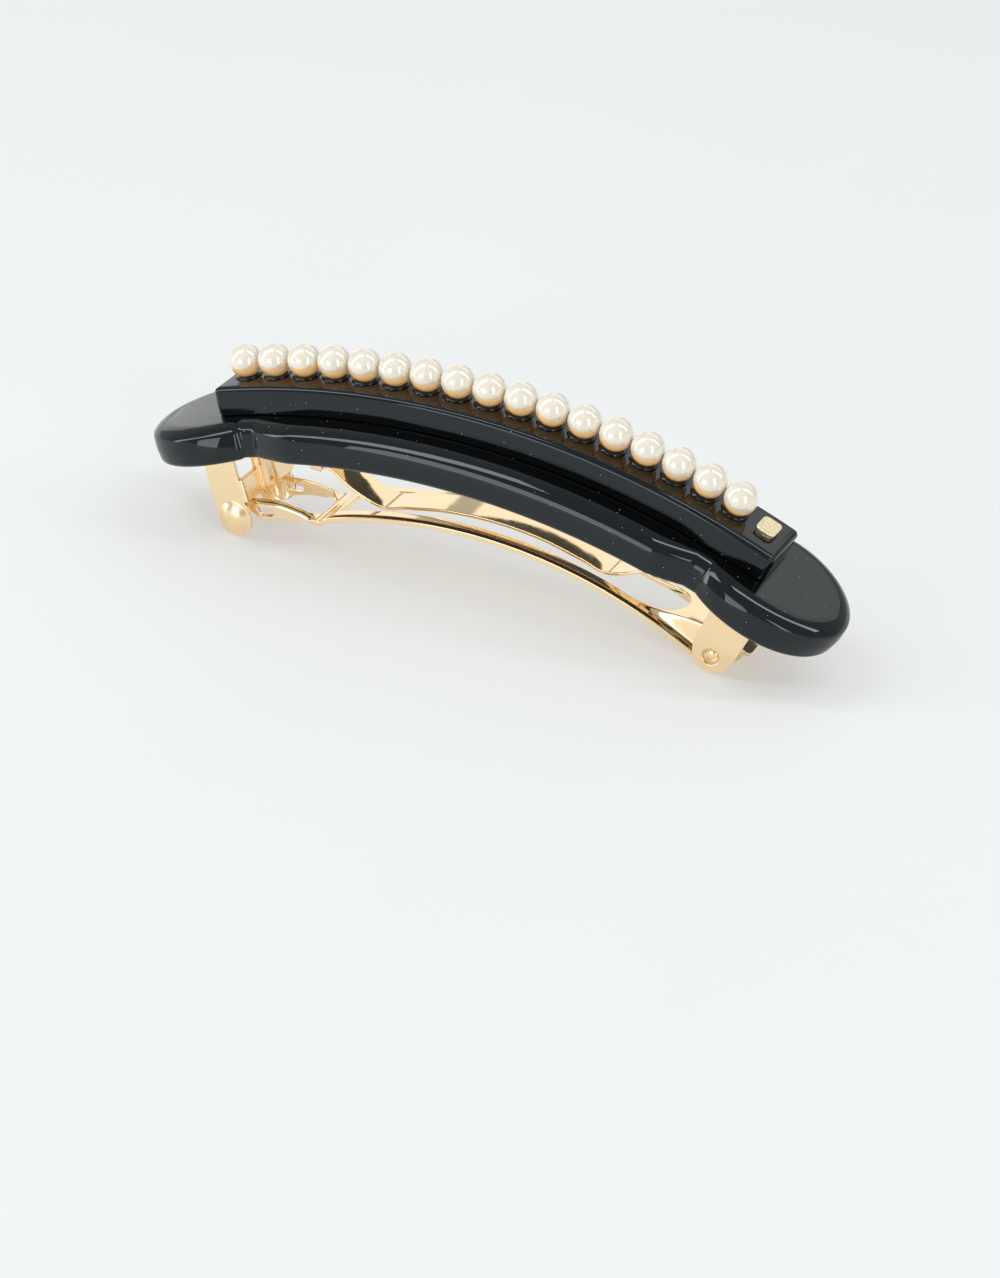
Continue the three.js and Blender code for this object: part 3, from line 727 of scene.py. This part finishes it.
def thumb_tab(side, name, body, node):
    """A leaf with a domed thumb pad, and a web bent inwards from its edge that ends in a post
    down to the catch."""
    half, bend, web_end, post_bend = 2.62, 0.6, 7.6, 0.3
    bend_start, post_edge = half - 0.15, 8.75
    web_low, web_high = 111.3, 114.9
    top, foot, post_top, post_foot = 118.0, 106.2, 117.2, 108.4
    slit = 0.3  # the cut that frees the pad from the web
    pad_middle, pad_width, pad_height, pad_rise, pad_power = 109.0, 2.5, 2.75, 0.8, 1.3
    outline = rounded([
        (post_edge, post_top, 0.2), (web_end, post_top, 0.2), (web_end, web_high, 0.3),
        (bend_start, web_high, 0.15), (bend_start, top, 0.2),
        (-half, top, 0.3), (-half, foot, half), (half, foot, half), (half, web_low - slit, 0.1),
        (bend_start, web_low - slit, 0.05), (bend_start, web_low, 0.05), (web_end, web_low, 0.3),
        (web_end + 0.1, post_foot, 0.15), (post_edge, post_foot, 0.15)], 6)
    bm = blank([outline], SHEET, round_edges(SHEET_EDGE))
    cut_across(bm, 0, [*spaced(-2.5, 2.4, 0.1), *spaced(bend_start, bend_start + 1.0, 0.12),
                       *spaced(web_end - 0.05, web_end + 0.5, 0.08)])
    cut_across(bm, 1, [*spaced(106.2, 111.8, 0.1), web_low - 0.02])

    def leaf(u, v):
        start = np.where((v < web_low - 0.01) & (u < half + 0.1), post_edge, bend_start)
        along, inward = tab_path(u, start, bend, start + web_end - bend_start, post_bend)
        spread = (u / pad_width) ** 2 + ((v - pad_middle) / pad_height) ** 2
        rise = pad_rise * (1 - np.clip(spread, 0, 1) ** pad_power) ** pad_power
        y = side * (EAR_OUTSIDE - inward + rise)
        return turned(np.stack([along, y, v - CROWN], -1), TAB_ANGLE)

    part = wrapped(bm, leaf) if side < 0 else flipped(wrapped(bm, leaf))
    add_piece(name, [part], brushed_gold, body, "gold_plate", node)


# ---- tension bar and lever arm ------------------------------------------------------

def smooth_line(points):
    """Height as a function of x along a Catmull-Rom curve through the points."""
    steps = 40
    points = np.array(points, float)
    ends = np.vstack([2 * points[0] - points[1], points, 2 * points[-1] - points[-2]])
    samples = []
    for a, b, c, d in zip(ends, ends[1:], ends[2:], ends[3:]):
        t = np.linspace(0, 1, steps, endpoint=False)[:, None]
        samples.append(0.5 * (2 * b + (c - a) * t + (2 * a - 5 * b + 4 * c - d) * t ** 2
                              + (3 * b - a - 3 * c + d) * t ** 3))
    samples = np.vstack([*samples, points[-1:]])
    slope = (samples[-1, 1] - samples[-2, 1]) / (samples[-1, 0] - samples[-2, 0])
    rise = (samples[1, 1] - samples[0, 1]) / (samples[1, 0] - samples[0, 0])

    def height(x):
        inside = np.interp(x, samples[:, 0], samples[:, 1])
        past = np.maximum(x - samples[-1, 0], 0) * slope
        before = np.minimum(x - samples[0, 0], 0) * rise
        return inside + past + before

    return height


def tension_bar():
    """One spring leaf: bowed up in the middle, down at two knees, up again to its ends."""
    half_length, half_width, end_width, taper = 29.1, 2.7, 2.1, 6.0
    line = smooth_line([(-29.2, -11.45), (-25.2, -11.95), (-20.8, -14.1), (-16.2, -15.35),
                        (-12.5, -14.35), (-6, -12.85), (1.7, -12.2), (9, -12.6),
                        (15.5, -13.9), (19.6, -14.85), (24.4, -13.2), (26.6, -12.0),
                        (29.2, -11.4)])
    knee = half_length - taper
    outline = rounded(mirrored([(half_length, end_width, 0.8), (knee, half_width, 6),
                                (-knee, half_width, 6), (-half_length, end_width, 0.8)]), 6)
    bm = blank([outline], SPRING_SHEET, round_edges(0.12))
    inner = half_length - 0.3
    cut_across(bm, 0, spaced(-inner, inner, 0.4))
    part = wrapped(bm, lambda u, v: np.stack([u, v, line(u)], -1))
    add_piece("spring_leaf", [part], gold, "spring_bar", "gold_plate", "tension_bar")


def smooth_step(value):
    value = np.clip(value, 0, 1)
    return value * value * (3 - 2 * value)


def arm_bend_height(x):
    return ARM_CROWN[1] - ARM_BEND + np.sqrt(ARM_BEND ** 2 - (x - ARM_CROWN[0]) ** 2)


def arm_surface():
    """The arm's top face. The rails follow the long bend, the web past the slot is drawn up
    between two walls, and the tongue's sides are folded down."""
    bend = [(x, float(arm_bend_height(x))) for x in (-22.5, -16, -9, -2, 5, 12, 19, 25)]
    tongue = [(-39.6, -20.5), (-36.5, -19.6), (-32.4, -18.9), (-28.6, -19.1), (-25.6, -19.6)]
    web = smooth_line(tongue + bend + [(29, -17.6), (33.5, -17.6), (38, -18.2),
                                       (41, -19.3), (42.9, -20.5)])
    rail = smooth_line(tongue + bend + [(x, float(arm_bend_height(x))) for x in (30, 35, 40)])
    wall_top, wall_foot = 3.75, 4.45
    fold_start, fold_radius, flat_from, fold_run = 4.1, 0.8, -26.2, 1.6
    lip_start, lip_width, lip_drop = 4.95, 0.5, 0.28  # the rails' edges are rolled down a little
    probe = 0.05

    def surface(u, v):
        angle = math.pi / 2 * smooth_step((flat_from - u) / fold_run)
        y, drop = folded(v, fold_start, fold_radius, np.maximum(angle, 1e-4))
        raised = 1 - smooth_step((np.abs(v) - wall_top) / (wall_foot - wall_top))
        z = rail(u) + (web(u) - rail(u)) * raised
        rolled = smooth_step((np.abs(v) - lip_start) / lip_width) * smooth_step(u + 24)
        z = z - lip_drop * rolled
        slope = (rail(u + probe) - rail(u - probe)) / (2 * probe)
        lean = 1 / np.sqrt(1 + slope ** 2)
        return np.stack([u + drop * slope * lean, y, z - drop * lean], -1)

    return surface


def lever_arm():
    wide, lip_end = 5.5, 35.0
    side = [(43.0, 3.8, 2.8), (40.4, 4.2, 0.6), (lip_end + 0.6, 4.4, 0.4),
            (lip_end, wide, 0.5), (-24.5, wide, 1.5), (-26.6, 5.05, 0.8),
            (-28.6, 6.45, 0.6), (-35.2, 7.7, 1.2), (-37.3, 6.3, 0.6), (-37.9, 4.6, 0.5),
            (-39.4, 4.4, 1.2), (-40.1, 3.2, 0.6)]
    outline = rounded(mirrored(side), 6)
    slot_half, slot_start, slot_end = 3.5, -22.65, 31.6
    slot = rounded([(slot_end, -slot_half, 3.45), (slot_start, -slot_half, 0.5),
                    (slot_start, slot_half, 0.5), (slot_end, slot_half, 3.45)], 9)
    gap, start, end, bevel = 3.9, -37.4, -26.0, 1.6
    window = rounded([(end, -gap + bevel, 0.3), (end - bevel, -gap, 0.3), (start, -gap, 0.5),
                      (start, gap, 0.5), (end - bevel, gap, 0.3), (end, gap - bevel, 0.3)], 4)
    openings = []
    for sign in (-1, 1):
        corners = [(-36.2, 5.6, 0.2), (-32.6, 5.9, 0.5), (-33.2, 6.9, 0.5), (-35.4, 6.9, 0.2)]
        if sign > 0:
            corners = corners[::-1]
        openings.append(rounded([(x, sign * y, radius) for x, y, radius in corners], 3))
    bm = blank([outline, slot, window, *openings], SHEET, round_edges(0.15))
    cut_across(bm, 0, [*spaced(-39.8, -24.2, 0.3), *spaced(-23.6, 24, 0.8),
                       *spaced(24.4, 42.8, 0.4)])
    folds = spaced(4.1, 5.6, 0.15)
    walls = [*spaced(3.6, 4.05, 0.09), *spaced(4.95, 5.45, 0.1)]
    cut_across(bm, 1, [*folds, *-folds, *walls, *(-place for place in walls)])
    parts = [wrapped(bm, arm_surface()), pintle(-1), pintle(1)]
    add_piece("arm_sheet", parts, gold, "lever", "gold_plate", "lever_arm")


def pintle(side):
    """A round-nosed pin that turns in the ear's hole."""
    radius, start, end, nose_length, edge = 1.05, 4.2, EAR_OUTSIDE - 0.15, 0.55, 0.1
    nose = [(radius * math.cos(turn), end - nose_length * (1 - math.sin(turn)))
            for turn in np.linspace(0, math.pi / 2, 8)]
    profile = [(0, start), (radius - edge, start), (radius, start + edge), *nose]
    centre = on_arc(EAR_ANGLE, PIVOT_RADIUS, 0.0)

    def place(points):
        x, y, z = np.moveaxis(points, -1, 0)
        return np.stack([x, side * z, y * -side], -1) + centre

    return lathed(profile, 32, place)


# ---- setting ------------------------------------------------------------------------

def camera():
    """The photograph's view, given in the design frame."""
    azimuth, elevation, roll = math.radians(23.028), math.radians(30.436), math.radians(5.44)
    distance, target = 532.93, Vector((3.116, 0, -32.807))
    sensor, focal_share = 36.0, 2.8389  # focal length over the long side of the picture
    back = Vector((math.sin(azimuth) * math.cos(elevation),
                   -math.cos(azimuth) * math.cos(elevation), math.sin(elevation)))
    right = Vector((math.cos(azimuth), math.sin(azimuth), 0))
    up = back.cross(right)
    rolled_right = right * math.cos(roll) + up * math.sin(roll)
    rolled_up = up * math.cos(roll) - right * math.sin(roll)
    axes = Matrix((rolled_right, rolled_up, back)).transposed()
    data = bpy.data.cameras.new("camera")
    data.sensor_width = sensor
    data.lens = sensor * focal_share
    data.clip_start, data.clip_end = 0.01, 20
    made = bpy.data.objects.new("camera", data)
    bpy.context.scene.collection.objects.link(made)
    turn = Matrix(TURN.tolist())
    made.matrix_world = (Matrix.Translation(Vector(to_row(target + back * distance)))
                         @ (turn @ axes).to_4x4())
    bpy.context.scene.camera = made


def softbox(name, azimuth, elevation, distance, width, height, brightness):
    """An even panel facing the object. Azimuth 0 is in front, and 90 is towards +X."""
    around, up = math.radians(azimuth), math.radians(elevation)
    towards = Vector((math.sin(around) * math.cos(up), -math.cos(around) * math.cos(up),
                      math.sin(up)))
    data = bpy.data.lights.new(name, "AREA")
    data.shape = "RECTANGLE"
    data.size, data.size_y = width, height
    data.energy = brightness * math.pi * width * height
    panel = bpy.data.objects.new(name, data)
    bpy.context.scene.collection.objects.link(panel)
    panel.location = towards * distance
    panel.rotation_mode = "QUATERNION"
    panel.rotation_quaternion = towards.to_track_quat("Z", "Y")


def setting():
    side = 4.0  # metres
    mesh = bpy.data.meshes.new("floor")
    mesh.from_pydata([(-side, -side, 0), (side, -side, 0), (side, side, 0), (-side, side, 0)],
                     [], [(0, 1, 2, 3)])
    mesh.materials.append(floor_finish())
    floor = bpy.data.objects.new("floor", mesh)
    bpy.context.scene.collection.objects.link(floor)
    world = bpy.data.worlds.new("studio")
    world.use_nodes = True
    sky = world.node_tree.nodes["Background"]
    sky.inputs["Color"].default_value = (0.95, 0.985, 1.0, 1)
    sky.inputs["Strength"].default_value = 0.47
    bpy.context.scene.world = world
    softbox("left_strip", -65, 38, 0.7, 0.17, 1.2, 4.5)
    softbox("right_strip", 110, 54, 0.7, 0.09, 0.8, 5.5)
    softbox("left_spot", -14, 11, 0.7, 0.36, 0.28, 3.0)
    softbox("right_spot", 52, 20, 0.7, 0.17, 0.5, 3.5)
    softbox("back_left_sweep", -143, 10, 1.3, 1.0, 0.5, 0.6)
    softbox("back_high", 178, 38, 1.2, 1.2, 0.5, 0.6)
    bpy.context.scene.view_settings.view_transform = "Standard"


camera()
setting()
base_plate()
top_bar()
pearl_seats()
pearl_balls()
square_stud()
clip_frame()
rivets()
thumb_tab(-1, "front_thumb_leaf", "front_tab", "thumb_tab_front")
thumb_tab(1, "back_thumb_leaf", "back_tab", "thumb_tab_back")
tension_bar()
lever_arm()
